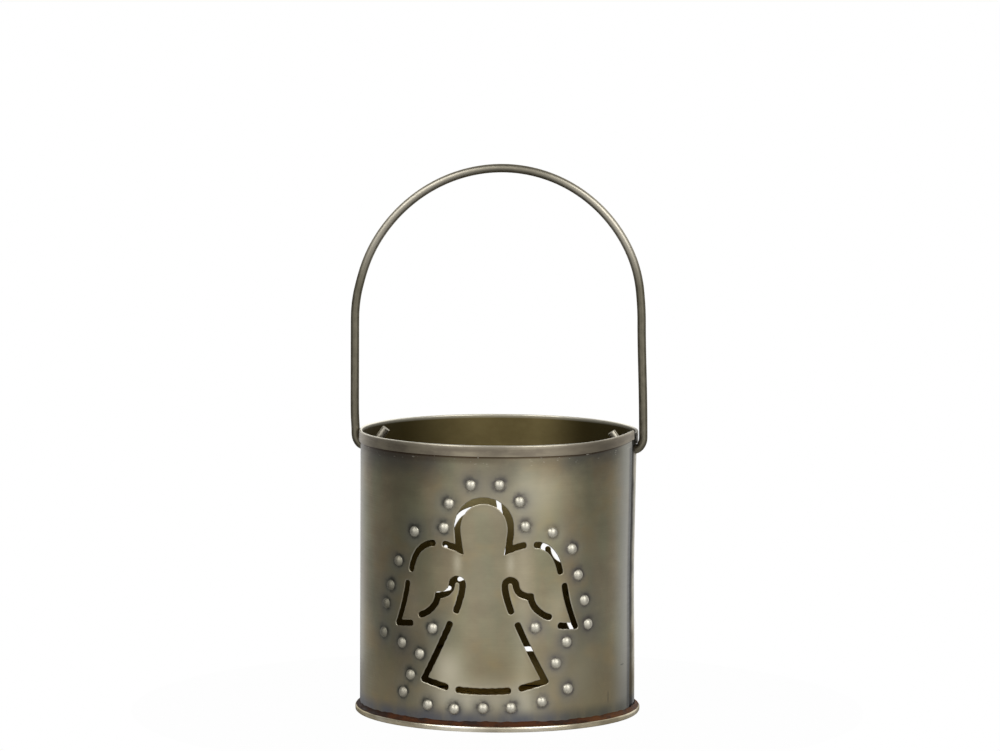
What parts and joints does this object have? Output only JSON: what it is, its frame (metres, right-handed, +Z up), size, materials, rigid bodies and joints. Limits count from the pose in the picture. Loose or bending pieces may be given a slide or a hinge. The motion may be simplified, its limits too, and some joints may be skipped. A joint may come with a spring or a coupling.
{
  "type": "pail candle lantern",
  "caption": "Small open-topped round sheet-metal candle pail in antique brass, punched with outlined angels ringed by embossed domes, with a crimped base and a swinging wire bail.",
  "frame": {"origin": "on the ground at the pail's axis", "axes": "+Z up along the pail's axis, X through the two bail pivots, the front angel faces -Y"},
  "size_m": [0.1058, 0.1012, 0.1941],
  "materials": {
    "antique_brass": "antiqued brass plating on rolled sheet, satin, with dark patina, bluish heat-like halos round the punch marks and polished edges",
    "brass_wire": "antiqued brass plating on drawn wire, satin",
    "brown_lacquer": "dull red-brown lacquer run into the foot seam"
  },
  "bodies": {
    "pail": {"wall_sheet": "antique_brass", "base_pan": "antique_brass", "foot_sealant": "brown_lacquer"},
    "bail": {"bail_handle": "brass_wire"}
  },
  "joints": [
    {"name": "bail_swing", "type": "hinge", "parent": "pail", "child": "bail", "pos_m": [0, 0, 0.0937], "axis": [1, 0, 0], "range_deg": [-148, 148]}
  ]
}
